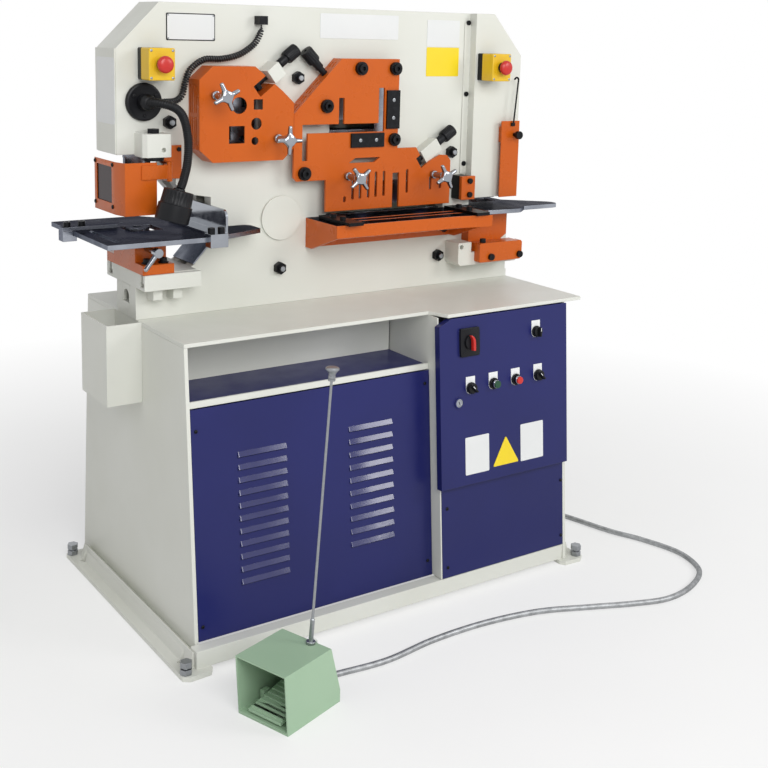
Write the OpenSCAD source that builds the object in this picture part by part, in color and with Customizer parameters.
/* [Main frame] */
// Left end of the frame plates
frame_left = 634; // [600:1:680]
// Right end of the frame plates
frame_right = 622; // [600:1:680]
// Height of the frame above the work top
frame_h = 793; // [760:1:860]
// Thickness of each side plate
plate_t = 38; // [30:1:44]
// Space between the two plates, where the beam swings
plate_gap = 48; // [44:1:60]
// Distance of the front plate's face in front of the cabinet's centre
frame_front = 10; // [0:1:30]

/* [Cabinet] */
// Width over the two side plates
cabinet_w = 1166; // [1140:1:1240]
// Height of the work top above the floor
table_h = 784; // [740:1:840]
// Slope of the front panels and of the plates' front edges, in degrees
front_slope = 4.6; // [3:0.1:6]
// Slope of the back panel, in degrees
back_slope = 4.5; // [3:0.1:5]
// Depth of the work top in front of the centre, left of the control panel
top_front = 282; // [270:1:300]
// Depth of the work top behind the centre
top_back = 340; // [320:1:360]
// How far the control panel stands in front of the left panel
panel_step = 40; // [30:1:50]
// Width over the foot flanges
foot_w = 1280; // [1260:1:1340]
// Depth over the foot flanges
foot_d = 808; // [800:1:860]
// Thickness of the cabinet's side plates
side_t = 10; // [8:1:12]

/* [Shear] */
// Radius of the main pin that carries the beam
pin_r = 40; // [34:1:44]
// Full swing of the beam, in degrees
beam_swing = 3.2; // [2.4:0.1:3.2]
// Radial running clearance of the beam on its pin
pin_fit = 0.06; // [0.03:0.01:0.1]
// Height of the shear bench above the work top
bench_h = 230; // [224:1:234]
// Depth of the shear bench in front of the front plate
bench_d = 176; // [150:1:190]

/* [Punch] */
// Radius of the punch ram
ram_r = 35; // [30:1:38]
// Stroke of the punch ram
ram_stroke = 68; // [50:1:68]
// Thickness of the punch table
punch_table_t = 12; // [10:1:14]

/* [Foot switch] */
// Length of the foot switch guard
guard_l = 181; // [170:1:200]
// Width of the foot switch guard
guard_w = 148; // [130:1:160]
// Height of the foot switch guard
guard_h = 145; // [135:1:160]

/* [Hidden] */

$fn = 64;
seat = 0.3;

// Colours of the finishes.
cream = [0.88, 0.88, 0.84];
orange = [0.86, 0.44, 0.12];
blue = [0.16, 0.17, 0.42];
black = [0.08, 0.08, 0.10];
steel = [0.60, 0.61, 0.64];
chrome = [0.82, 0.83, 0.86];
green = [0.62, 0.74, 0.62];

// ---- frame levels and outline, X to the right, Y to the back, Z up, floor at Z = 0 ----
top_z = table_h + frame_h;
fx0 = -frame_left;
fx1 = frame_right;
fy0 = -frame_front;
fy1 = fy0 + plate_t;
fy2 = fy1 + plate_gap;
fy3 = fy2 + plate_t;
fyc = (fy0 + fy3) / 2;
end_chamfer = [114, 115];
column_x = -588;
jaw_top = table_h + 420;
bed_t = 40;
bed_z = table_h + 125;
throat_x = -478;
throat_in = -380;
bed_x = [-590, -436];
bed_y = [-72, 176];
notch_x = 470;
notch_z0 = table_h + 201;
notch_z1 = table_h + 256;

// Main pin and the tie bolts that hold the two plates together.
pin_x = -173;
pin_z = table_h + 235;
pin_cover_r = 60;
tie_r = 10;
tie_fit = 0.3;
TIES = [[-497, table_h + 498], [-129, table_h + 608], [-178, table_h + 99],
    [392, table_h + 393], [355, table_h + 89]];

// Windows through the plates.
bar_win = [-366, -246, table_h + 424, table_h + 574];
angle_win = [-24, 176, table_h + 416, table_h + 590];
flat_win = [-30, 372, table_h + 186, table_h + 320];
cyl_win = [474, 600, table_h + 340, table_h + 666];

// Shear cylinder above the beam's right end.
cyl_x = 537;
cyl_r = 56;
cyl_z0 = table_h + 440;
cyl_z1 = table_h + 650;
rod_r = 25;
beam_end_z = table_h + 364;

// Punch cylinder in the left end of the frame.
punch_x = -556;
punch_cyl_r = 45;
punch_cyl_z0 = jaw_top + 60;
punch_cyl_z1 = jaw_top + 236;
punch_nut_r = 34;
punch_nut_h = 30;
die_z = table_h + 229;

// ---- small shapes used throughout ----

// A flat outline in X and Z, made t thick from y0 to the back.
module xz(y0, t)
    translate([0, y0 + t, 0]) rotate([90, 0, 0]) linear_extrude(t) children();

// A flat outline in Y and Z, made t thick from x0 to the right.
module yz(x0, t)
    translate([x0, 0, 0]) rotate([90, 0, 90]) linear_extrude(t) children();

// A flat outline in X and Y, made t thick from z0 upwards.
module xy(z0, t)
    translate([0, 0, z0]) linear_extrude(t) children();

// A box from its low corner to its high corner.
module block(a, b)
    translate(a) cube([b[0] - a[0], b[1] - a[1], b[2] - a[2]]);

// A rectangle with round corners from its low corner to its high corner.
module round_rect(a, b, r) {
    translate([a[0] + r, a[1]]) square([b[0] - a[0] - 2 * r, b[1] - a[1]]);
    translate([a[0], a[1] + r]) square([b[0] - a[0], b[1] - a[1] - 2 * r]);
    for (x = [a[0] + r, b[0] - r], y = [a[1] + r, b[1] - r])
        translate([x, y]) circle(r, $fn = 24);
}

// A slot with round ends along Z, w wide, from z0 to z1.
module slot_z(x, z0, z1, w) round_rect([x - w / 2, z0], [x + w / 2, z1], w / 2 - 0.01);

// A cylinder along Y from y0 to y1.
module rod_y(x, z, y0, y1, r, n = 48)
    translate([x, y1, z]) rotate([90, 0, 0]) cylinder(r = r, h = y1 - y0, $fn = n);

// Places its children on the sloping front plane that starts at height z_top with y = y_top:
// X is kept, Y points into the cabinet and Z runs up the slope.
module on_slope(y_top, z_top)
    translate([0, y_top, z_top]) rotate([-front_slope, 0, 0]) children();

// Depth of the sloping plane at height z.
function slope_y(y_top, z_top, z) = y_top - (z_top - z) * tan(front_slope);
// Distance down the slope for a height z.
function slope_s(z_top, z) = -(z_top - z) / cos(front_slope);

// ---- main frame ----

// Outer outline of a frame plate, with the punch throat at the left and the notcher throat
// at the right.
module plate_outline() {
    polygon([[column_x, table_h], [fx1, table_h], [fx1, notch_z0], [notch_x, notch_z0],
        [notch_x, notch_z1], [fx1, notch_z1], [fx1, top_z - end_chamfer[1] - 3],
        [fx1 - 105, top_z], [fx0 + end_chamfer[0], top_z], [fx0, top_z - end_chamfer[1]],
        [fx0, jaw_top], [throat_x, jaw_top], [throat_x, jaw_top - 80], [throat_x + 22, jaw_top - 105],
        [throat_in, jaw_top - 118], [throat_in, bed_z + 56], [bed_x[1] + 8, bed_z + 4],
        [bed_x[1] + 0.2, bed_z], [bed_x[1] + 0.2, bed_z - bed_t - 0.2],
        [column_x, bed_z - bed_t - 0.2]]);
}

module plate_openings() {
    translate([pin_x, pin_z]) circle(pin_r + 0.02);
    for (t = TIES) translate(t) circle(tie_r + tie_fit, $fn = 32);
    for (w = [bar_win, angle_win, flat_win, cyl_win])
        round_rect([w[0], w[2]], [w[1], w[3]], 8);
}

module ram_bore()
    translate([punch_x, fyc, jaw_top - 1]) cylinder(r = ram_r + 0.06, h = punch_cyl_z0 - jaw_top + 2);

module barrel_bore()
    translate([punch_x, fyc, punch_cyl_z0])
        cylinder(r = punch_cyl_r + 0.5, h = punch_cyl_z1 - punch_cyl_z0 + 1);

// Slanted edge of the shear guard's upper left corner.
slant_a = [-161, table_h + 516];
slant_b = [-15, table_h + 661];
slant_len = norm(slant_b - slant_a);
slant_deg = atan2(slant_b[1] - slant_a[1], slant_b[0] - slant_a[0]);
slant_hole = slant_a + (slant_b - slant_a) * 0.72;

// Hold-down clamps: place of the pad in X and Z, and direction of the screw in degrees.
HOLD = [[-262, table_h + 590, 38],
    [slant_hole[0] + 54 * sin(slant_deg), slant_hole[1] - 54 * cos(slant_deg), slant_deg + 90],
    [256, table_h + 374, 34]];
hold_w = 40;
hold_near = [34, 12, 18];
hold_far = [74, 40, 84];
hold_y = fy0 - 20;
hold_front = [36, 17, 17];
screw_r = 9;

module hold_frame(i)
    translate([HOLD[i][0], hold_y, HOLD[i][1]]) rotate([0, -HOLD[i][2], 0]) children();

module hold_block(i)
    hold_frame(i) difference() {
        block([hold_near[i], -hold_front[i], -hold_w / 2], [hold_far[i], 21, hold_w / 2]);
        rotate([0, 90, 0]) cylinder(r = screw_r + 0.06, h = 200);
    }

// Block in front of the left end that carries the stripper's adjusting screw.
strip_x = -550;
strip_z = [table_h + 416, table_h + 474];
strip_y = fy0 - 57;

module stripper_block()
    difference() {
        xy(strip_z[0], strip_z[1] - strip_z[0])
            polygon([[strip_x - 37, fy0 + 1], [strip_x - 37, strip_y + 10], [strip_x - 27, strip_y],
                [strip_x + 34, strip_y], [strip_x + 37, strip_y + 3], [strip_x + 37, fy0 + 1]]);
        translate([strip_x, strip_y + 28, strip_z[0] - 1]) cylinder(r = 12.3, h = 80, $fn = 32);
        rod_y(strip_x + 16, strip_z[0] + 18, strip_y - 1, strip_y + 14, 5.5, 24);
    }

// Bracket under the notcher.
notch_bed_z = [table_h + 62, table_h + 101];

module notch_bed()
    xz(fy0 - 66, 67)
        difference() {
            polygon([[386, notch_bed_z[0] + 8], [394, notch_bed_z[0]], [604, notch_bed_z[0]],
                [612, notch_bed_z[0] + 10], [612, notch_bed_z[1]], [434, notch_bed_z[1]],
                [434, notch_bed_z[1] + 30], [386, notch_bed_z[1] + 30]]);
            translate([398, notch_bed_z[1] + 17]) circle(6.5, $fn = 24);
        }

module front_plate()
    color(cream) {
        difference() {
            xz(fy0, plate_t) difference() {
                plate_outline();
                plate_openings();
            }
            ram_bore();
            barrel_bore();
        }
        for (i = [0 : 2]) hold_block(i);
        stripper_block();
        notch_bed();
    }

// Spacer bars are welded to the rear plate and fill the gap where nothing swings.
module spacer(points)
    xz(fy1, plate_gap) polygon(points);

module rear_plate()
    color(cream) difference() {
        union() {
            xz(fy2, plate_t) difference() {
                plate_outline();
                plate_openings();
            }
            spacer([[fx0 + end_chamfer[0], top_z], [fx1 - 105, top_z], [fx1 - 105, top_z - 24],
                [fx0 + end_chamfer[0], top_z - 24]]);
            spacer([[fx0, top_z - end_chamfer[1]], [fx0 + end_chamfer[0], top_z],
                [fx0 + end_chamfer[0], top_z - 24], [fx0 + 20, top_z - end_chamfer[1] - 4],
                [fx0 + 20, jaw_top], [fx0, jaw_top]]);
            spacer([[fx0 + 20, jaw_top], [fx0 + 20, jaw_top + 60], [throat_x, jaw_top + 60],
                [throat_x, jaw_top]]);
            spacer([[column_x, table_h], [column_x, table_h + 36], [fx1, table_h + 36],
                [fx1, table_h]]);
            spacer([[fx1 - 18, notch_z1 + 150], [fx1, notch_z1 + 150],
                [fx1, top_z - end_chamfer[1] - 3], [fx1 - 105, top_z], [fx1 - 105, top_z - 24],
                [fx1 - 18, top_z - end_chamfer[1] - 10]]);
        }
        ram_bore();
        barrel_bore();
    }

// ---- sheet covers ----
cover_x = [451, 624];
cover_z = [notch_z1, top_z];
cover_d = 30;
sheet = 3;

module cover_outline(inset)
    polygon([[cover_x[0] + inset, cover_z[0] + inset], [cover_x[1] - inset, cover_z[0] + inset],
        [cover_x[1] - inset, cover_z[1] - 118], [cover_x[1] - 106, cover_z[1] - inset],
        [cover_x[0] + inset, cover_z[1] - inset]]);

module cylinder_cover()
    union() {
        difference() {
            xz(fy0 - cover_d, cover_d - seat) cover_outline(0);
            xz(fy0 - cover_d + sheet, cover_d) cover_outline(sheet);
        }
        difference() {
            block([cover_x[0] - 21, fy0 - sheet - seat, cover_z[0] + 72],
                [cover_x[0] + 1, fy0 - seat, cover_z[1] - 27]);
            for (z = cover_screw_z) rod_y(cover_x[0] - 10, z, fy0 - 10, fy0 + 1, 3.5, 16);
        }
    }
cover_screw_z = [table_h + 766, table_h + 561, table_h + 357];

module end_cover()
    block([fx0 - sheet - seat, fy0, jaw_top + 2], [fx0 - seat, fy3, top_z - end_chamfer[1]]);

// Rear hoods that close the windows and let cut pieces drop; open at the bottom.
hood_d = 62;

module hood(x0, x1, step_x, z0, z1, z2)
    difference() {
        xz(fy3 + seat, hood_d)
            polygon([[x0, z0], [x1, z0], [x1, z1], [step_x, z1 + 60], [step_x, z2], [x0, z2]]);
        xz(fy3, hood_d - sheet)
            polygon([[x0 + sheet, z0 - 1], [x1 - sheet, z0 - 1], [x1 - sheet, z1 - sheet],
                [step_x - sheet, z1 + 60 - sheet], [step_x - sheet, z2 - sheet],
                [x0 + sheet, z2 - sheet]]);
    }

module sheet_covers()
    color(cream) {
        end_cover();
        hood(-50, 373.5, 196, table_h + 150, table_h + 336, table_h + 606);
        hood(-384, -228, -260, table_h + 404, table_h + 530, table_h + 592);
        cylinder_cover();
        translate([0, 2 * fyc, 0]) mirror([0, 1, 0]) cylinder_cover();
    }

// ---- tie bolts and main pin ----
nut_af = 30;
nut_h = 16;

module hex_y(x, z, y0, y1, af)
    translate([x, y1, z]) rotate([90, 0, 0]) rotate(30) cylinder(d = af / cos(30), h = y1 - y0, $fn = 6);

module tie_bolts()
    color(black) for (t = TIES) {
        rod_y(t[0], t[1], fy0 - 24, fy3 + 24, tie_r, 32);
        hex_y(t[0], t[1], fy0 - nut_h, fy0, nut_af);
        hex_y(t[0], t[1], fy3, fy3 + nut_h, nut_af);
    }

module main_pin()
    color(cream) {
        rod_y(pin_x, pin_z, fy0, fy3, pin_r, 96);
        rod_y(pin_x, pin_z, fy0 - 6, fy0, pin_cover_r, 64);
        rod_y(pin_x, pin_z, fy3, fy3 + 6, pin_cover_r, 64);
    }

// ---- hydraulic cylinders ----
module cylinder_barrels()
    color(steel) {
        difference() {
            translate([cyl_x, fyc, cyl_z0]) cylinder(r = cyl_r, h = cyl_z1 - cyl_z0);
            translate([cyl_x, fyc, cyl_z0 - 1]) cylinder(r = rod_r + 0.06, h = 120);
        }
        block([cyl_win[0] + 9, fyc - 34, cyl_z1], [cyl_win[1] - 9, fyc + 34, cyl_win[3] - 0.2]);
        difference() {
            translate([punch_x, fyc, punch_cyl_z0])
                cylinder(r = punch_cyl_r, h = punch_cyl_z1 - punch_cyl_z0);
            translate([punch_x, fyc, punch_cyl_z0 - 1]) cylinder(r = ram_r + 0.06, h = 125);
        }
    }

module shear_rod()
    color(chrome) {
        translate([cyl_x, fyc, beam_end_z + 30]) cylinder(r = rod_r, h = cyl_z0 - beam_end_z + 40);
        translate([cyl_x, fyc, beam_end_z + 1]) cylinder(r = 20, h = 29);
    }

// ---- beam and its blades ----
beam_side = 2;
by0 = fy1 + beam_side;
beam_t = plate_gap - 2 * beam_side;

module beam_outline() {
    polygon([[-430, table_h + 411], [-430, table_h + 652], [-178, table_h + 652],
        [-178, table_h + 562], [-92, table_h + 562], [-60, table_h + 612], [150, table_h + 612],
        [182, table_h + 506], [300, beam_end_z], [612, beam_end_z], [612, notch_z1 + 22],
        [400, notch_z1 + 22], [366, flat_top[1]], [-66, flat_top[0]], [-90, pin_z - 66],
        [-230, pin_z - 66], [-262, pin_z + 40]]);
}

module beam()
    color(steel) difference() {
        union() {
            xz(by0, beam_t) beam_outline();
            rod_y(pin_x, pin_z, by0, by0 + beam_t, 96, 96);
        }
        rod_y(pin_x, pin_z, by0 - 1, by0 + beam_t + 1, pin_r + pin_fit, 96);
        xz(by0 - 1, beam_t + 2)
            round_rect([bar_win[0] + 8, bar_win[2] + 8], [bar_win[1] - 8, bar_win[3] - 8], 6);
        xz(by0 - 1, beam_t + 2) angle_gap(2);
    }

// Holes for the bars: x, z, size, and 1 for a square one.
BARS = [[-331, table_h + 541, 36, 0], [-277, table_h + 543, 20, 1], [-282, table_h + 494, 24, 0],
    [-338, table_h + 467, 38, 1], [-286, table_h + 450, 14, 0]];

module bar_holes(grow)
    for (b = BARS) translate([b[0], b[1]])
        if (b[3] == 1) square(b[2] + grow, center = true);
        else circle(d = b[2] + grow, $fn = 32);

// L-shaped opening that takes an angle section.
module angle_gap(grow) {
    square_from([-4 - grow, table_h + 466 - grow], [128 + grow, table_h + 488 + grow]);
    square_from([106 - grow, table_h + 466 - grow], [128 + grow, table_h + 578 + grow]);
}

module square_from(a, b) translate(a) square([b[0] - a[0], b[1] - a[1]]);

blade_t = 16;
flat_top = [table_h + 281, table_h + 296];

module moving_blades()
    color(steel) {
        // Bar blade, set into the beam's window.
        xz(by0, 20) difference() {
            round_rect([bar_win[0] + 8.1, bar_win[2] + 8.1], [bar_win[1] - 8.1, bar_win[3] - 8.1], 6);
            bar_holes(0.5);
        }
        // Flat blade, raked so that it cuts from the left.
        xz(by0, blade_t)
            polygon([[-66, table_h + 234], [-66, flat_top[0]], [366, flat_top[1]],
                [366, table_h + 254]]);
        // Notching blade under the beam's end.
        block([notch_cut[0] + 3, by0 + 2, notch_z1 - 14],
            [notch_cut[1] - 3, by0 + beam_t - 2, notch_z1 + 22]);
    }
notch_cut = [516, 604];
notch_cut_y = [fyc - 28, fyc + 28];

module fixed_tools()
    color(steel) {
        // Bar blade in the front plate's window.
        xz(fy0 + 9, plate_t - 9 - 0.5) difference() {
            round_rect([bar_win[0] + 0.2, bar_win[2] + 0.2], [bar_win[1] - 0.2, bar_win[3] - 0.2], 8);
            bar_holes(0.5);
        }
        // Angle blade: the corner below and to the right of the opening.
        xz(fy0 + 9, plate_t - 9 - 0.5) intersection() {
            round_rect([angle_win[0] + 0.2, angle_win[2] + 0.2],
                [angle_win[1] - 0.2, angle_win[3] - 0.2], 8);
            polygon([[-20, angle_win[2]], [angle_win[1], angle_win[2]],
                [angle_win[1], table_h + 580], [129, table_h + 580],
                [129, table_h + 465], [-20, table_h + 465]]);
        }
        // Flat blade along the lower edge of the window.
        xz(fy1 - blade_t - 0.5, blade_t)
            intersection() {
                round_rect([flat_win[0] + 0.2, flat_win[2] + 0.2],
                    [flat_win[1] - 0.2, flat_win[3]], 8);
                square_from([flat_win[0], flat_win[2]], [flat_win[1], bench_z]);
            }
        // Sheet that lines the throat's slanted corner.
        xz(fy0, fy3 - fy0) polygon([[bed_x[1] + 7.6, bed_z + 4.3], [throat_in - 0.4, bed_z + 56.3],
            [throat_in - 2.6, bed_z + 58.4], [bed_x[1] + 5.4, bed_z + 6.4]]);
        // Die under the punch.
        difference() {
            translate([punch_x, fyc, die_z - 16]) cylinder(r = 30, h = 16);
            translate([punch_x, fyc, die_z - 17]) cylinder(r = 12, h = 18, $fn = 32);
        }
    }

// ---- shear guards ----
guard_face = fy0 - 45;
guard_t = 8;
bar_face = fy0 - 63;

module bar_outline()
    difference() {
        polygon([[-442, table_h + 431], [-442, table_h + 606], [-405, table_h + 639],
            [-286, table_h + 639], [-205, table_h + 576], [-172, table_h + 546],
            [-172, table_h + 428], [-203, table_h + 398], [-405, table_h + 398]]);
        translate([HOLD[0][0], HOLD[0][1]]) rotate(HOLD[0][2]) square_from([-24, -16.5], [100, 16.5]);
    }

KNOBS = [[-400, table_h + 567], [-222, table_h + 455], [8, table_h + 344], [298, table_h + 336]];
knob_face = [bar_face, bar_face, guard_face, guard_face];
stud_r = 6;

module bar_guard()
    color(orange) difference() {
        xz(bar_face, fy0 - bar_face - seat) bar_outline();
        xz(bar_face + sheet, 100) offset(delta = -sheet) bar_outline();
        xz(bar_face - 1, sheet + 2) {
            bar_holes(6);
            for (i = [0, 1]) translate(KNOBS[i]) circle(stud_r + 0.06, $fn = 32);
        }
        for (y = [bar_face + 16, bar_face + 40], z = [table_h + 442, table_h + 522])
            translate([-450, 0, 0]) yz(0, 20) for (k = [0, 1])
                round_rect([y + 9 * k, z], [y + 4 + 9 * k, z + 70], 1.9);
    }

module guard_outline()
    polygon([[-15, table_h + 661], [173, table_h + 661], [173, table_h + 415],
        [238, table_h + 415], [268, table_h + 366], [324, table_h + 391], [348, table_h + 389],
        [361, table_h + 374], [361, table_h + 249], [-60, table_h + 249], [-60, table_h + 336],
        [-152, table_h + 336], [-161, table_h + 347], [-161, table_h + 516]]);

SLOTS = [[1, 272, 288], [27, 278, 346], [51, 279, 348], [78, 280, 352], [103, 281, 352],
    [130, 282, 353], [209, 287, 354], [291, 292, 330], [326, 294, 330]];
GUARD_BOLTS = [[44, table_h + 635], [157, table_h + 635], [-63, table_h + 535],
    [158, table_h + 440], [-130, table_h + 357]];

module guard_openings() {
    square_from([-135, table_h + 463], [126, table_h + 486]);
    square_from([-22, table_h + 482], [-5, table_h + 556]);
    square_from([107, table_h + 467], [126, table_h + 582]);
    square_from([-135, table_h + 390], [-119, table_h + 480]);
    square_from([159, table_h + 248], [181, table_h + 346]);
    polygon([[13, table_h + 379], [33, table_h + 392], [115, table_h + 392], [97, table_h + 379]]);
    for (s = SLOTS) slot_z(s[0], table_h + s[1], table_h + s[2], 8);
    for (b = GUARD_BOLTS) translate(b) circle(8.2, $fn = 32);
    for (i = [2, 3]) translate(KNOBS[i]) circle(stud_r + 0.06, $fn = 32);
    translate([HOLD[2][0], HOLD[2][1]]) rotate(HOLD[2][2]) square_from([-9, -17], [100, 17]);
}

module shear_guard()
    color(orange) {
        xz(guard_face, guard_t) difference() {
            guard_outline();
            guard_openings();
        }
        // Side wall along the slanted edge, with its short slots.
        translate([slant_a[0], 0, slant_a[1]]) rotate([0, -slant_deg, 0]) difference() {
            block([0, guard_face + guard_t, -sheet - 1], [slant_len, fy0 - seat, 0]);
            for (x = [14, 44, 74, 104, 172], y = [guard_face + 14, guard_face + 28])
                block([x, y, -10], [x + 20, y + 5, 10]);
            translate([slant_len * 0.72, hold_y, -20]) cylinder(r = screw_r + 1, h = 40, $fn = 32);
        }
    }

module guide_blocks()
    color(black) {
        block([131, guard_face - 6, table_h + 470], [174, guard_face - 0.0, table_h + 576]);
        block([16, guard_face - 6, table_h + 421], [124, guard_face - 0.0, table_h + 460]);
        block([402, fy0 - 40, table_h + 256], [438, fy0 - seat, table_h + 325]);
        for (i = [0, 2]) hold_frame(i) {
            block([-6, -14, -13], [6, 14, 13]);
            block([-20, -10, -9], [-6, 10, 9]);
        }
    }

// Clamping knob with four arms on a long stud.
star_arm = 35;

module star_knob(i) {
    x = KNOBS[i][0];
    z = KNOBS[i][1];
    face = knob_face[i];
    color(chrome) {
        rod_y(x, z, face - 56, fy0 - 1, stud_r, 32);
        rod_y(x, z, face - 70, face - 2, 9, 32);
        translate([x, face - 58, z]) rotate([90, 0, 0]) {
            cylinder(r = 14, h = 16, $fn = 32);
            for (a = [0 : 90 : 270]) rotate(a + 18) translate([0, -5, 2]) {
                cube([star_arm - 5, 10, 11]);
                translate([star_arm - 5, 5, 0]) cylinder(r = 6, h = 11, $fn = 24);
            }
        }
    }
}
module star_knob_1() star_knob(0);
module star_knob_2() star_knob(1);
module star_knob_3() star_knob(2);
module star_knob_4() star_knob(3);

module holddown_screw(i, from, head) {
    color(black) hold_frame(i) rotate([0, 90, 0]) {
        translate([0, 0, from]) cylinder(r = screw_r, h = head - from + 1, $fn = 32);
        translate([0, 0, head]) cylinder(r = 12, h = 16, $fn = 32);
        translate([0, 0, head + 12]) cylinder(r = 18, h = 40, $fn = 32);
    }
}
module holddown_screw_1() holddown_screw(0, 6.4, 100);
module holddown_screw_2() holddown_screw(1, 2, 86);
module holddown_screw_3() holddown_screw(2, 6.4, 102);

// ---- shear bench ----
bench_x = [-95, 400];
bench_z = table_h + bench_h;
bench_front = fy0 - bench_d + 14;

module bench()
    color(orange) {
        difference() {
            yz(bench_x[0], bench_x[1] - bench_x[0])
                polygon([[fy0 - seat, bench_z - 82], [fy0 - seat, bench_z], [bench_front, bench_z],
                    [bench_front, bench_z - 34], [fy0 - 30, bench_z - 82]]);
            yz(bench_x[0] + 8, bench_x[1] - bench_x[0] - 16)
                polygon([[fy0 - 8, bench_z - 100], [fy0 - 8, bench_z - 10],
                    [bench_front + 8, bench_z - 10], [bench_front + 8, bench_z - 50]]);
            for (y = [fy0 - 74, fy0 - 112])
                block([bench_x[0] + 70, y - 4, bench_z - 3], [bench_x[1] - 42, y + 4, bench_z + 1]);
            for (x = [bench_x[0] + 30, bench_x[1] - 30]) rod_y(x, bench_z - 62, fy0 - 12, fy0 + 2, 8.5, 24);
        }
        // Wider lip in front of the right end.
        xy(bench_z - 34, 34)
            polygon([[300, bench_front], [bench_x[1] + 14, bench_front - 20],
                [bench_x[1] + 14, bench_front + 30], [bench_x[1], bench_front + 30],
                [bench_x[1] - 2, bench_front]]);
    }

// Guide bars clamped across the bench, each with two bolts.
module guide_bar(x)
    translate([x, bench_front - 22, bench_z]) {
        block([0, 0, 0], [45, 156, 9]);
        for (y = [58, 106]) translate([16, y, 9]) cylinder(r = 9, h = 10, $fn = 6);
    }

module bench_gauges()
    color(black) {
        guide_bar(-71);
        guide_bar(356);
    }

// ---- notcher ----
notch_top = notch_z0 + 31;
notch_t = 12;

module notch_table()
    color(steel) xy(notch_top - notch_t, notch_t) difference() {
        polygon([[440, fy0 - seat], [440, -124], [447, -132], [556, -140], [568, -136],
            [604, -107], [720, -107], [736, -103], [745, -91], [745, -71], [736, -58], [632, 34],
            [632, 96], [notch_x + 1, 96], [notch_x + 1, fy0 - seat]]);
        square_from([notch_cut[0] - 1, notch_cut_y[0] - 1], [notch_cut[1] + 1, notch_cut_y[1] + 1]);
    }

BRACKET_X = [487, 596];

module notch_holder()
    color(orange) {
        // Die holder on the floor of the throat.
        difference() {
            block([notch_x + 14, fy0 + 2, notch_z0], [fx1 - 2, fy3 - 2, notch_top - notch_t]);
            block([notch_cut[0], notch_cut_y[0], notch_z0 - 1],
                [notch_cut[1], notch_cut_y[1], notch_top]);
        }
        // Upright support in front of the plate.
        xz(fy0 - 34, 34 - seat)
            polygon([[446, notch_bed_z[1] + 0.2], [572, notch_bed_z[1] + 0.2],
                [572, notch_bed_z[1] + 27], [592, notch_bed_z[1] + 39],
                [592, notch_top - notch_t], [446, notch_top - notch_t]]);
        // Bracket bolted on the bed's front.
        difference() {
            xz(fy0 - 66 - 26, 26)
                polygon([[445, notch_bed_z[0] + 13], [448, notch_bed_z[0] + 10],
                    [600, notch_bed_z[0] + 10], [607, notch_bed_z[0] + 16],
                    [607, notch_bed_z[1] + 23], [602, notch_bed_z[1] + 28],
                    [448, notch_bed_z[1] + 28], [445, notch_bed_z[1] + 25]]);
            for (x = BRACKET_X) rod_y(x, table_h + 87, fy0 - 100, fy0 - 60, 6, 24);
        }
        block([447, fy0 - 67, notch_bed_z[1] + 0.2], [604, fy0 - 34.3, notch_bed_z[1] + 26]);
        // Guide pad beside the shear guard.
        block([400, fy0 - 52, table_h + 256], [450, fy0 - 40, table_h + 325]);
    }

module notch_guard()
    color(orange) {
        // Strip in front of the notching tool, on a bracket under the cylinder cover.
        block([543, fy0 - 52, table_h + 256.5], [611, fy0 - 48, table_h + 483]);
        block([550, fy0 - 48, table_h + 420], [600, fy0 - cover_d - seat, table_h + 466]);
    }

// ---- punch ----
punch_tip = die_z + 66;

module punch_ram()
    color(steel) {
        translate([punch_x, fyc, jaw_top - 14]) cylinder(r = ram_r, h = 180);
        translate([punch_x, fyc, jaw_top - 54]) cylinder(r = punch_nut_r, h = 40);
        translate([punch_x, fyc, punch_tip]) cylinder(r = 11, h = jaw_top - 54 - punch_tip, $fn = 32);
    }

module punch_bed()
    color(cream) {
        difference() {
            block([bed_x[0], bed_y[0], bed_z - bed_t], [bed_x[1], bed_y[1], bed_z]);
            // T-slots along the bed's front and back.
            for (y = [bed_y[0] + 18, bed_y[1] - 26]) {
                block([bed_x[0] - 1, y - 6, bed_z - 30], [bed_x[1] + 1, y + 6, bed_z + 1]);
                block([bed_x[0] - 1, y - 11, bed_z - 32], [bed_x[1] + 1, y + 11, bed_z - 20]);
            }
        }
        for (x = [-558, -504]) yz(x, 25)
            polygon([[bed_y[0] + 20, bed_z - bed_t], [fy0 - seat, bed_z - bed_t],
                [fy0 - seat, bed_z - bed_t - 34], [bed_y[0] + 22, bed_z - bed_t - 30]]);
        // Arched piece that closes the end of the frame under the bed.
        yz(column_x, 10) difference() {
            square_from([fy1 + 0.3, table_h + 37], [fy2 - 0.3, bed_z - bed_t + 0.5]);
            square_from([fyc - 18, table_h + 30], [fyc + 18, bed_z - bed_t - 34]);
            translate([fyc, bed_z - bed_t - 34]) circle(18, $fn = 32);
        }
    }

bolster_x = [-592, -508];

module die_bolster()
    color(orange) difference() {
        union() {
            block([bolster_x[0], -67, bed_z + 0.2], [bolster_x[1], 170, bed_z + 25]);
            xz(-18, 140) polygon([[bolster_x[0], bed_z + 24], [bolster_x[1], bed_z + 24],
                [bolster_x[1], ptable_z - punch_table_t - 0.2],
                [bolster_x[0], ptable_z - punch_table_t - 0.2]]);
            translate([punch_x, fyc, bed_z + 30]) cylinder(r = 31, h = die_z - 16 - bed_z - 30);
        }
        translate([punch_x, fyc, bed_z - 1]) cylinder(r = 16, h = 120, $fn = 32);
        for (p = BOLSTER_BOLTS) translate([p[0], p[1], bed_z - 1]) cylinder(r = 7, h = 60, $fn = 24);
    }
BOLSTER_BOLTS = [[-572, -45], [-528, -45], [-556, 148]];

ptable_x = [-714, -272];
ptable_y = [-150, 243];
ptable_z = table_h + 224;
gauge_slot_x = -676;

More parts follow.
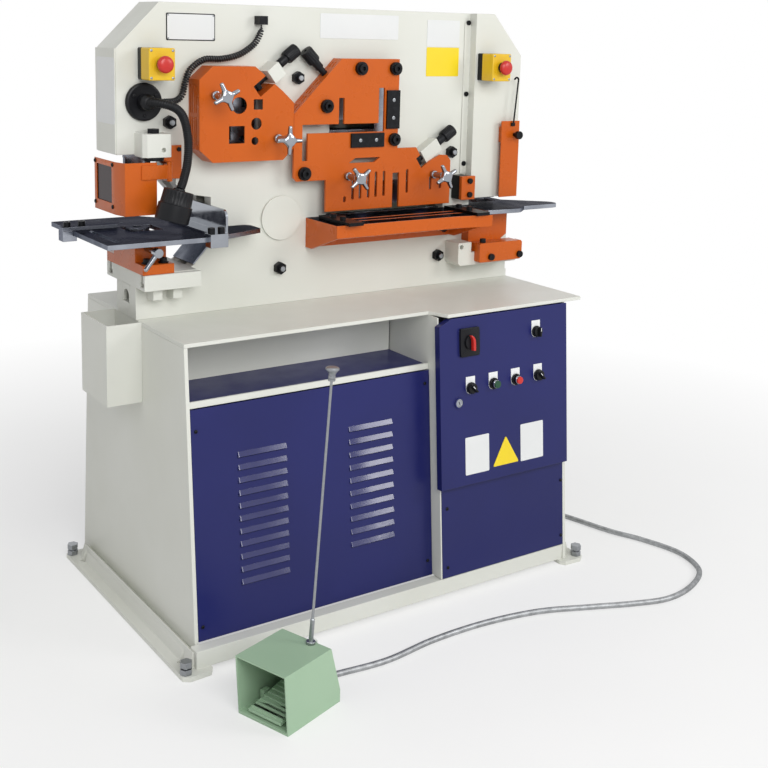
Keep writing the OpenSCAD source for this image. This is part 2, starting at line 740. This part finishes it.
module punch_table()
    color(steel) xy(ptable_z - punch_table_t, punch_table_t) difference() {
        polygon([[ptable_x[0], ptable_y[0]], [-412, ptable_y[0]], [-388, -128],
            [ptable_x[1] - 4, -84], [ptable_x[1], -80], [ptable_x[1], -26], [-284, fy0 - 3],
            [throat_in - 3, fy0 - 3], [throat_in - 3, fy3 + 20], [throat_x, ptable_y[1]],
            [ptable_x[0], ptable_y[1]]]);
        // Opening around the die, the gauge's slot and the fence's slot.
        square_from([-590, fyc - 42], [-500, fyc + 46]);
        round_rect([gauge_slot_x - 6, -120], [gauge_slot_x + 6, 60], 5.9);
        round_rect([-432, -128], [-423, 86], 4.4);
        for (c = [[-640, 200], [-600, 212], [-560, 150]]) translate(c) circle(5, $fn = 24);
    }

gauge_y = 97;

module gauge_bar()
    color(steel) {
        block([-740, gauge_y - 13, ptable_z], [-596, gauge_y + 13, ptable_z + 9]);
        // Clamp that grips the table's left edge.
        block([-740, gauge_y - 16, ptable_z - 26], [ptable_x[0] - 0.4, gauge_y + 16, ptable_z]);
        block([ptable_x[0] - 0.4, gauge_y - 16, ptable_z - 26],
            [ptable_x[0] + 10, gauge_y + 16, ptable_z - punch_table_t - 0.4]);
        for (x = [-724, -686]) translate([x, gauge_y, ptable_z + 9]) cylinder(r = 8.5, h = 12, $fn = 32);
    }

fence_x = -398;
fence_back = 126;

module side_fence()
    color(chrome) {
        // Upright plate with a round corner, on a foot clamped over the table's front edge.
        yz(fence_x, 6) {
            square_from([ptable_y[0] + 18, ptable_z + 0.2], [fence_back, ptable_z + 44]);
            square_from([ptable_y[0] + 38, ptable_z + 40], [fence_back, ptable_z + 62]);
            translate([ptable_y[0] + 38, ptable_z + 42]) circle(20);
        }
        block([fence_x - 40, ptable_y[0] + 18, ptable_z + 0.2], [fence_x, fence_back, ptable_z + 6]);
        block([fence_x - 58, ptable_y[0] - 16, ptable_z + 0.2],
            [fence_x - 10, ptable_y[0] + 20, ptable_z + 9]);
        block([fence_x - 58, ptable_y[0] - 16, ptable_z - 25],
            [fence_x - 10, ptable_y[0] - 0.4, ptable_z + 1]);
        block([fence_x - 58, ptable_y[0] - 1, ptable_z - 25],
            [fence_x - 20, ptable_y[0] + 14, ptable_z - punch_table_t - 0.4]);
        for (x = [fence_x - 48, fence_x - 21]) translate([x, ptable_y[0] + 2, ptable_z + 9])
            cylinder(r = 8.5, h = 14, $fn = 32);
    }

// Clamp lever on the bolster's front.
lever_x = -562;
lever_z = bed_z + 59;

module clamp_lever()
    color(chrome) {
        rod_y(lever_x, lever_z, -92, -18.3, 7, 32);
        rod_y(lever_x, lever_z, -98, -76, 11.5, 32);
        translate([lever_x, -88, lever_z]) rotate([0, -142, 0]) {
            cylinder(r1 = 7.5, r2 = 5.5, h = 50, $fn = 24);
            translate([0, 0, 50]) sphere(5.5, $fn = 24);
        }
    }

// Hinged guard around the punch.
guard_z = [table_h + 274, table_h + 404];
hinge_c = [-516, fy0 - 48];
hinge_z = [table_h + 362, table_h + 397];

module guard_path()
    polygon([[-642, 118], [-642, -16], [-632, -58], [-549, -58], [-549, -55.4], [-629.9, -55.4],
        [-639.4, -15.7], [-639.4, 118]]);

module stripper_guard()
    color(orange) difference() {
        union() {
            xy(guard_z[0], guard_z[1] - guard_z[0]) guard_path();
            translate([hinge_c[0], hinge_c[1], hinge_z[0]]) difference() {
                cylinder(r = 7, h = hinge_z[1] - hinge_z[0], $fn = 32);
                translate([0, 0, -1]) cylinder(r = 4.05, h = 200, $fn = 32);
            }
            // Strap from the guard to its hinge.
            difference() {
                block([-590, -61.5, hinge_z[0]], [-516, -57.9, hinge_z[1]]);
                translate([hinge_c[0], hinge_c[1], 0]) cylinder(r = 4.6, h = 2000, $fn = 32);
            }
        }
        yz(-650, 15) round_rect([4, guard_z[0] + 26], [104, guard_z[1] - 14], 3);
        for (y = [-4, 111], z = [guard_z[0] + 18, guard_z[1] - 8]) rod_x(-650, -635, y, z, 3);
    }

module rod_x(x0, x1, y, z, r)
    translate([x0, y, z]) rotate([0, 90, 0]) cylinder(r = r, h = x1 - x0, $fn = 24);

// Plate on the frame that carries the guard's hinge pin.
HINGE_SCREWS = [-504, -472];

module hinge_plate()
    color(orange) {
        difference() {
            block([-512.6, fy0 - 6, table_h + 356], [-464, fy0 - seat, table_h + 440]);
            for (x = HINGE_SCREWS) rod_y(x, table_h + 430, fy0 - 8, fy0 + 1, 3, 24);
        }
        for (z = [hinge_z[0] - 6.3, hinge_z[1] + 0.3]) {
            block([-522, hinge_c[1], z], [-508, fy0 - seat, z + 6]);
            translate([hinge_c[0], hinge_c[1], z]) cylinder(r = 7, h = 6, $fn = 32);
        }
        translate([hinge_c[0], hinge_c[1], hinge_z[0] - 4])
            cylinder(r = 4, h = hinge_z[1] - hinge_z[0] + 8, $fn = 32);
    }

// Screw that sets the stripper's height, tie plates' cap screws and the plain spacers.
module cap_screws()
    color(black) {
        for (b = GUARD_BOLTS) {
            rod_y(b[0], b[1], guard_face - 0.4, fy0, 8, 32);
            rod_y(b[0], b[1], guard_face - 11, guard_face - 0.4, 18, 48);
            difference() {
                rod_y(b[0], b[1], guard_face - 18, guard_face - 10, 12.5, 32);
                hex_y(b[0], b[1], guard_face - 19, guard_face - 12, 10);
            }
        }
        translate([strip_x, strip_y + 28, strip_z[0] - 9]) cylinder(r = 12, h = 72, $fn = 32);
        translate([strip_x, strip_y + 28, strip_z[1]]) rotate(8) cylinder(r = 16, h = 11, $fn = 6);
        translate([strip_x, strip_y + 28, strip_z[0] - 9]) cylinder(r = 26, h = 8.8, $fn = 48);
        for (z = cover_screw_z) {
            rod_y(cover_x[0] - 10, z, fy0 - sheet - seat - 5, fy0 - sheet - seat, 7, 24);
        }
        for (x = BRACKET_X) {
            rod_y(x, table_h + 87, fy0 - 92 - 8, fy0 - 92, 10, 24);
            rod_y(x, table_h + 87, fy0 - 92, fy0 - 67, 5.7, 24);
        }
        for (x = [bench_x[0] + 30, bench_x[1] - 30]) hex_y(x, bench_z - 62, fy0 - 18, fy0 - 8, 18);
        for (p = BOLSTER_BOLTS) translate([p[0], p[1], bed_z]) {
            cylinder(r = 5.5, h = 30, $fn = 24);
            translate([0, 0, 25.2]) cylinder(r = 13, h = 3, $fn = 32);
            translate([0, 0, 28]) difference() {
                cylinder(r = 9, h = 10, $fn = 32);
                translate([0, 0, 4]) cylinder(r = 4.5, h = 7, $fn = 6);
            }
        }
        rod_x(body_x, body_x + 16, gland[0], gland[1], 13);
        // Locking knob and hooked rod of the notcher's guard strip.
        rod_y(592, table_h + 442, fy0 - 68, fy0 - 52, 6, 24);
        rod_y(592, table_h + 442, fy0 - 78, fy0 - 66, 12, 32);
        block([576, fy0 - 57, table_h + 468], [590, fy0 - 52, table_h + 478]);
        translate([583, fy0 - 57, table_h + 476]) rotate([0, 5.4, 0])
            cylinder(r = 2.4, h = 129.7, $fn = 24);
        translate([588.1, fy0 - 57, table_h + 604]) rotate([90, 0, 0])
            rotate_extrude(angle = 180, $fn = 32) translate([7, 0]) circle(2.8, $fn = 24);
        // Screws of the hinge plate, the guide pad and the bracket.
        for (x = HINGE_SCREWS) rod_y(x, table_h + 430, fy0 - 11, fy0 - 6, 5.5, 24);
        for (z = [table_h + 271, table_h + 311]) rod_y(428, z, fy0 - 60, fy0 - 52, 8, 24);
        translate([466, fy0 - 78, notch_bed_z[1] + 28]) cylinder(r = 9, h = 12, $fn = 32);
        // Grommet where the lamp's cord enters the frame.
        block([-257, fy0 - 30, table_h + 744], [-233, fy0 - seat, table_h + 766]);
    }

// ---- emergency stops ----
estop_w = 68;
estop_h = 78;
ESTOPS = [[-543, table_h + 643, fy0], [494, table_h + 641, fy0 - cover_d]];
estop_d = 68;

module estop_boxes()
    color([0.92, 0.76, 0.10]) for (e = ESTOPS) {
        difference() {
            xz(e[2] - estop_d, estop_d) translate([e[0], e[1]])
                round_rect([-estop_w / 2, -estop_h / 2], [estop_w / 2, estop_h / 2], 4);
            rod_y(e[0], e[1], e[2] - estop_d - 1, e[2] - estop_d + 22, 11.2, 32);
        }
        difference() {
            rod_y(e[0], e[1], e[2] - estop_d - 7, e[2] - estop_d, 15, 32);
            rod_y(e[0], e[1], e[2] - estop_d - 8, e[2] - estop_d + 1, 11.2, 32);
        }
        for (x = [-25, 25], z = [-30, 30])
            rod_y(e[0] + x, e[1] + z, e[2] - estop_d - 2, e[2] - estop_d, 4.5, 24);
    }

module estop_button(e)
    color([0.78, 0.08, 0.08]) {
        rod_y(e[0], e[1], e[2] - estop_d - 18, e[2] - estop_d + 14, 11, 32);
        translate([e[0], e[2] - estop_d - 14, e[1]]) rotate([90, 0, 0]) {
            cylinder(r1 = 16, r2 = 21, h = 6, $fn = 48);
            translate([0, 0, 6]) cylinder(r1 = 21, r2 = 17, h = 10, $fn = 48);
        }
    }
module estop_button_left() estop_button(ESTOPS[0]);
module estop_button_right() estop_button(ESTOPS[1]);

// ---- work lamp ----
lamp_x = -564;
lamp_z = table_h + 549;
NECK = [[lamp_x, -40, lamp_z], [lamp_x + 4, -72, lamp_z + 2], [lamp_x + 24, -94, lamp_z - 2],
    [lamp_x + 52, -98, lamp_z - 14], [lamp_x + 71, -94, lamp_z - 38], [lamp_x + 80, -92, lamp_z - 71],
    [lamp_x + 82, -95, lamp_z - 104], [lamp_x + 73, -105, lamp_z - 152],
    [lamp_x + 57, -117, lamp_z - 188], [lamp_x + 45, -124, lamp_z - 209]];

// Point i of a path, held at its ends.
function at(p, i) = p[max(0, min(len(p) - 1, i))];
// Smooth curve through the points, n steps between each pair.
function curve(p, n) = concat([for (i = [0 : len(p) - 2], k = [0 : n - 1])
    spline(at(p, i - 1), p[i], p[i + 1], at(p, i + 2), k / n)], [p[len(p) - 1]]);
function spline(a, b, c, d, t) =
    0.5 * ((2 * b) + (c - a) * t + (2 * a - 5 * b + 4 * c - d) * t * t
        + (3 * b - a - 3 * c + d) * t * t * t);
function unit(v) = v / norm(v);
function path_dir(p, i) = unit(at(p, i + 1) - at(p, i - 1));

// Round tube of radius r and n sides along the points p; up is never parallel to the path.
module tube(p, r, n, up) {
    pts = [for (i = [0 : len(p) - 1]) let (d = path_dir(p, i), s = unit(cross(d, up)), t = cross(d, s))
        for (k = [0 : n - 1]) p[i] + r * (cos(360 * k / n) * s + sin(360 * k / n) * t)];
    last = len(p) - 1;
    faces = concat([[for (k = [0 : n - 1]) k]],
        [for (i = [0 : last - 1], k = [0 : n - 1])
            [i * n + k, (i + 1) * n + k, (i + 1) * n + (k + 1) % n]],
        [for (i = [0 : last - 1], k = [0 : n - 1])
            [i * n + k, (i + 1) * n + (k + 1) % n, i * n + (k + 1) % n]],
        [[for (k = [n - 1 : -1 : 0]) last * n + k]]);
    polyhedron(pts, faces, convexity = 6);
}

head_top = [lamp_x + 43, -125, lamp_z - 207];
head_axis = unit([-17, 0, -62]);

module work_lamp()
    color(black) {
        rod_y(lamp_x, lamp_z, fy0 - 12, fy0 - seat, 47, 64);
        block([lamp_x - 18, fy0 - 44, lamp_z - 18], [lamp_x + 18, fy0 - 12, lamp_z + 18]);
        tube(curve(NECK, 4), 11, 12, [1, 0, 1]);
        translate(head_top) rotate([0, 180 - atan2(-head_axis[0], -head_axis[2]), 0]) {
            difference() {
                union() {
                    cylinder(r1 = 37, r2 = 39, h = 36, $fn = 48);
                    translate([0, 0, 36]) cylinder(r = 42, h = 42, $fn = 48);
                }
                translate([0, 0, 48]) cylinder(r = 38, h = 40, $fn = 48);
            }
            translate([0, 0, 46]) cylinder(r = 30, h = 8, $fn = 32);
        }
    }

CORD = [[-545.5, -38, 1333], [-520, -38, 1334], [-488, -32, 1336], [-468, -28, 1350],
    [-460, -28, 1378], [-446, -28, 1412], [-408, -28, 1438], [-361, -28, 1440], [-310, -28, 1451],
    [-266, -26, 1478], [-248, -26, 1506], [-245, -26, 1517], [-245, -26, 1527.7]];

module lamp_cord()
    color(black) tube(curve(CORD, 3), 9, 10, [0.2, 1, 0.1]);

// ---- cabinet ----
slab = 12;
body_x = cabinet_w / 2;
top_under = table_h - 10;
left_y = -top_front;
right_y = -top_front - panel_step;
post_x = 129;
gland = [180, 120];

// Side profile between height z0 and z1, front edge on the slope that starts at y_top.
module side_profile(y_top, z0, z1)
    polygon([[slope_y(y_top, top_under, z0), z0], [slope_y(y_top, top_under, z1), z1],
        [top_back, z1], [top_back + (z1 - z0) * tan(back_slope), z0]]);

module side_plates()
    color(cream) {
        yz(-body_x, side_t) side_profile(left_y, slab, top_under);
        yz(body_x - side_t, side_t) side_profile(right_y, slab, top_under);
    }

// Foot flanges with their chamfered ends, the front channel and the sloping bands.
module foot_outline()
    polygon([[-foot_w / 2, -foot_d / 2 + 12], [-foot_w / 2 + 17, -foot_d / 2],
        [-foot_w / 2 + 72, -foot_d / 2 + 3], [-foot_w / 2 + 82, -foot_d / 2 + 18],
        [-foot_w / 2 + 82, foot_d / 2 - 18], [-foot_w / 2 + 72, foot_d / 2 - 3],
        [-foot_w / 2 + 17, foot_d / 2], [-foot_w / 2, foot_d / 2 - 12]]);

FOOT_BOLTS = [[-625, -381], [-625, 381], [625, -381], [625, 381]];
ANCHORS = [[-612, -325], [-612, 325], [612, -325], [612, 325]];
channel_d = 34;
channel_y = floor(slope_y(left_y, top_under, slab)) - 1 - channel_d;

module base_frame()
    color(cream) {
        difference() {
            union() {
                xy(0, slab) {
                    foot_outline();
                    mirror([1, 0]) foot_outline();
                }
                for (s = [-1, 1]) xz(channel_y + 14, -2 * channel_y - 40)
                    polygon([[s * (body_x + seat), slab], [s * 612, slab], [s * 600, 52],
                        [s * (body_x + seat), 36]]);
            }
            for (b = FOOT_BOLTS) translate([b[0], b[1], -1]) cylinder(r = 8.3, h = 20, $fn = 24);
            for (a = ANCHORS) translate([a[0], a[1], -1]) cylinder(r = 9, h = 80, $fn = 24);
        }
        block([-597, channel_y, slab], [body_x - side_t - seat, channel_y + channel_d, 56]);
        block([-body_x + side_t + seat, 376, slab], [body_x - side_t - seat, 392, 56]);
    }

module levelling_bolts()
    color(steel) for (b = FOOT_BOLTS) translate([b[0], b[1], 0]) {
        cylinder(r = 8, h = 44, $fn = 24);
        translate([0, 0, slab]) cylinder(r = 15.5, h = 14, $fn = 6);
        translate([0, 0, 30]) cylinder(r = 15.5, h = 14, $fn = 6);
    }

module table_top()
    color(cream) {
        xy(top_under, 10)
            polygon([[-body_x, left_y], [post_x, left_y], [post_x + 22, right_y - 18],
                [630, right_y - 18], [630, top_back], [-body_x, top_back]]);
        // Foot block welded at the right end of the frame.
        block([fx1 + 0.4, fy0 + 4, table_h], [630, fy3 + 40, table_h + 22]);
    }

// Shelf niche under the left half of the top: rail, walls and the post beside the door.
niche_z = 637;
niche_back = -105;

module niche()
    color(cream) {
        block([-body_x + side_t + seat, niche_back, niche_z + 0.3],
            [post_x - 3, niche_back + 3, top_under - seat]);
        yz(post_x, 4) polygon([[slope_y(right_y, top_under, slab + 46), slab + 46],
            [slope_y(right_y, top_under, top_under - seat), top_under - seat],
            [niche_back + 3, top_under - seat], [niche_back + 3, slab + 46]]);
        block([-body_x + side_t + seat, slope_y(left_y, top_under, 643) + 2, 627],
            [post_x - seat, slope_y(left_y, top_under, 643) + 8, 643]);
    }

module niche_floor()
    color(blue) block([-body_x + side_t + seat, slope_y(left_y, top_under, 643) + 8.3, niche_z - 3],
        [post_x - seat, niche_back + 3, niche_z]);

// Louvred panel, the plain panel under the door, and the back panel.
LOUVRES = [[-454, -315, 158, 509, 11], [-132, 3, 179, 519, 10]];

module cabinet_panels()
    color(blue) {
        on_slope(left_y, top_under) difference() {
            block([-572.4, 0, slope_s(top_under, 57)], [post_x - 1, 2.5, slope_s(top_under, 625)]);
            for (g = LOUVRES, k = [0 : g[4] - 1]) let (z = g[2] + (g[3] - g[2]) * (k + 0.35) / g[4])
                block([g[0], -1, slope_s(top_under, z)], [g[1], 1.2, slope_s(top_under, z) + 7]);
        }
        on_slope(right_y, top_under)
            block([post_x + 5, 0, slope_s(top_under, 58)],
                [body_x - side_t - seat, 3, slope_s(top_under, 307)]);
        translate([0, top_back - 9, top_under]) rotate([back_slope, 0, 0])
            block([-body_x + side_t + seat, 0, -(top_under - slab - 50) / cos(back_slope)],
                [body_x - side_t - seat, 3, -1]);
    }

module scrap_box()
    color(cream) difference() {
        block([-676, -35, 576], [-body_x - seat, 139, table_h - seat]);
        block([-673, -32, 579], [-body_x - seat - 3, 136, table_h + 10]);
    }

// Oil tank with the motor and pump, inside the cabinet.
module power_pack()
    color(green) {
        block([180, -180, 60], [540, 180, 300]);
        block([150, -350, slab + 44.2], [560, 374, 61]);
        translate([360, 0, 300]) cylinder(r = 95, h = 14);
        translate([360, 0, 314]) cylinder(r = 85, h = 250);
        translate([360, 0, 564]) cylinder(r = 70, h = 30);
        block([445, -50, 380], [500, 50, 480]);
    }

// ---- control door and its controls ----
door_x = [119, 571];
door_z = [310, 774];
door_t = 22;
ctl_r = 15;

// Places its children on the door's face, Z pointing out.
module on_door(x, z)
    on_slope(right_y, top_under) translate([x, 0, slope_s(top_under, z)]) rotate([90, 0, 0]) children();

CTL = [[220, 577], [299, 578], [378, 578], [460, 579], [454, 703], [180, 541]];
iso = [216, 703];

module door_outline(inset)
    polygon([[door_x[0] + inset, slope_s(top_under, door_z[0]) + inset],
        [door_x[1] - inset, slope_s(top_under, door_z[0]) + inset],
        [door_x[1] - inset, slope_s(top_under, top_under - 4) - inset],
        [157 + inset / 2, slope_s(top_under, top_under - 4) - inset],
        [door_x[0] + inset, slope_s(top_under, 752) - inset / 2]]);

module control_door()
    color(blue) {
        difference() {
            on_slope(right_y, top_under) difference() {
                translate([0, 0, 0]) xz(-door_t, door_t - 0.3) door_outline(0);
                xz(-door_t + 2.5, door_t) door_outline(2.5);
            }
            for (c = CTL) on_door(c[0], c[1]) cylinder(r = 11.2, h = 60, $fn = 32);
            on_door(iso[0], iso[1]) cylinder(r = 8.2, h = 60, $fn = 32);
        }
        for (c = CTL) on_door(c[0], c[1]) translate([0, 0, door_t]) difference() {
            cylinder(r = ctl_r, h = 5, $fn = 48);
            translate([0, 0, -1]) cylinder(r = 11.2, h = 8, $fn = 32);
        }
        on_door(iso[0], iso[1]) difference() {
            translate([0, 0, door_t]) block([-32, -32, -0.1], [32, 32, 8]);
            cylinder(r = 8.2, h = 60, $fn = 32);
        }
    }

module isolator_handle()
    color([0.75, 0.10, 0.08]) on_door(iso[0], iso[1]) {
        translate([0, 0, door_t - 10]) cylinder(r = 8, h = 22, $fn = 32);
        translate([0, 0, door_t + 8.4]) cylinder(r = 20, h = 10, $fn = 48);
        translate([0, 0, door_t + 18.4]) block([-6, -22, -1], [6, 22, 14]);
    }

module selector(i, turn)
    color(black) on_door(CTL[i][0], CTL[i][1]) {
        translate([0, 0, door_t - 8]) cylinder(r = 11, h = 16, $fn = 32);
        translate([0, 0, door_t + 5.4]) cylinder(r = 12.5, h = 5, $fn = 32);
        rotate(turn) translate([0, 0, door_t + 10]) block([-3.5, -11.4, 0], [3.5, 11.4, 12]);
    }
module selector_top() selector(4, 0);
module selector_left() selector(0, 45);
module selector_right() selector(3, 45);

module push_button(i, c)
    color(c) on_door(CTL[i][0], CTL[i][1]) translate([0, 0, door_t - 10]) cylinder(r = 11, h = 22, $fn = 32);
module green_button() push_button(1, [0.10, 0.50, 0.22]);
module red_button() push_button(2, [0.75, 0.10, 0.08]);

module key_lock()
    color(chrome) on_door(CTL[5][0], CTL[5][1]) difference() {
        translate([0, 0, door_t - 16]) cylinder(r = 11, h = 20, $fn = 32);
        translate([0, 0, door_t + 2]) block([-1.5, -6, 0], [1.5, 6, 10]);
    }

// ---- foot switch ----
foot_turn = 19;
foot_pos = [-478, -616, 0];

module foot_frame() translate(foot_pos) rotate(foot_turn) children();

module foot_side(inset)
    polygon([[-guard_l / 2, 0], [guard_l / 2 - inset, 0], [guard_l / 2 - inset, 30],
        [guard_l / 2 - 35 - inset, guard_h - inset], [-guard_l / 2 - 12, guard_h - inset]]);

module pedal_guard()
    color(green) {
        foot_frame() {
            difference() {
                xz(-guard_w / 2, guard_w) foot_side(0);
                xz(-guard_w / 2 + 4, guard_w - 8) translate([-0, 8]) polygon([[-guard_l, 0],
                    [guard_l / 2 - 4, 0], [guard_l / 2 - 4, 22], [guard_l / 2 - 39, guard_h - 12],
                    [-guard_l, guard_h - 12]]);
            }
            for (s = [-1, 1]) block([-30, s * 58 - 6, 7], [-10, s * 58 + 6, 34]);
            translate([-20, 60, 22]) rotate([90, 0, 0]) cylinder(r = 5, h = 120, $fn = 32);
            rod_x(guard_l / 2 - 1, guard_l / 2 + 14, -3, 20, 12);
        }
        translate([-430, -623, guard_h - 4]) rotate([0, 4, 0]) {
            cylinder(r = 6, h = 640, $fn = 32);
            translate([0, 0, -1]) cylinder(r = 16, h = 14, $fn = 32);
            translate([0, 0, 634]) sphere(16, $fn = 32);
        }
    }

module pedal()
    color(green) foot_frame() translate([-20, 0, 22]) {
        difference() {
            union() {
                translate([0, 44, 0]) rotate([90, 0, 0]) cylinder(r = 8.6, h = 88, $fn = 32);
                rotate([0, -10, 0]) block([-66, -48, 2], [88, 48, 9]);
            }
            translate([0, 60, 0]) rotate([90, 0, 0]) cylinder(r = 5.06, h = 120, $fn = 32);
        }
        rotate([0, -10, 0]) for (x = [-58 : 14 : 82]) block([x, -46, 7.2], [x + 5, 46, 12]);
    }

CONDUIT = [[-377.5, -584.6, 20], [-366, -580.6, 20], [-347, -574, 14], [-318, -566, 9],
    [-183, -577, 9], [-28, -557, 9], [138, -557, 9], [299, -583, 9], [436, -637, 9], [554, -686, 9],
    [652, -714, 9], [749, -703, 9], [844, -660, 9], [889, -603, 9], [907, -516, 9], [881, -403, 9],
    [841, -304, 9], [810, -183, 9], [778, -70, 9], [745, 40, 9], [708, 120, 14], [672, 164, 50],
    [638, 179, 108],
    [616, 180, 120], [599.9, 180, 120]];

module conduit()
    color(steel) tube(curve(CONDUIT, 3), 8, 10, [0.05, 0.05, 1]);

base_frame();
side_plates();
table_top();
niche();
niche_floor();
cabinet_panels();
levelling_bolts();
scrap_box();
power_pack();
front_plate();
rear_plate();
sheet_covers();
tie_bolts();
main_pin();
cylinder_barrels();
beam();
moving_blades();
fixed_tools();
shear_rod();
bar_guard();
shear_guard();
guide_blocks();
cap_screws();
star_knob_1();
star_knob_2();
star_knob_3();
star_knob_4();
holddown_screw_1();
holddown_screw_2();
holddown_screw_3();
bench();
bench_gauges();
notch_table();
notch_holder();
notch_guard();
punch_ram();
punch_bed();
die_bolster();
punch_table();
gauge_bar();
side_fence();
clamp_lever();
stripper_guard();
hinge_plate();
estop_boxes();
estop_button_left();
estop_button_right();
work_lamp();
lamp_cord();
control_door();
isolator_handle();
selector_top();
selector_left();
selector_right();
green_button();
red_button();
key_lock();
pedal_guard();
pedal();
conduit();
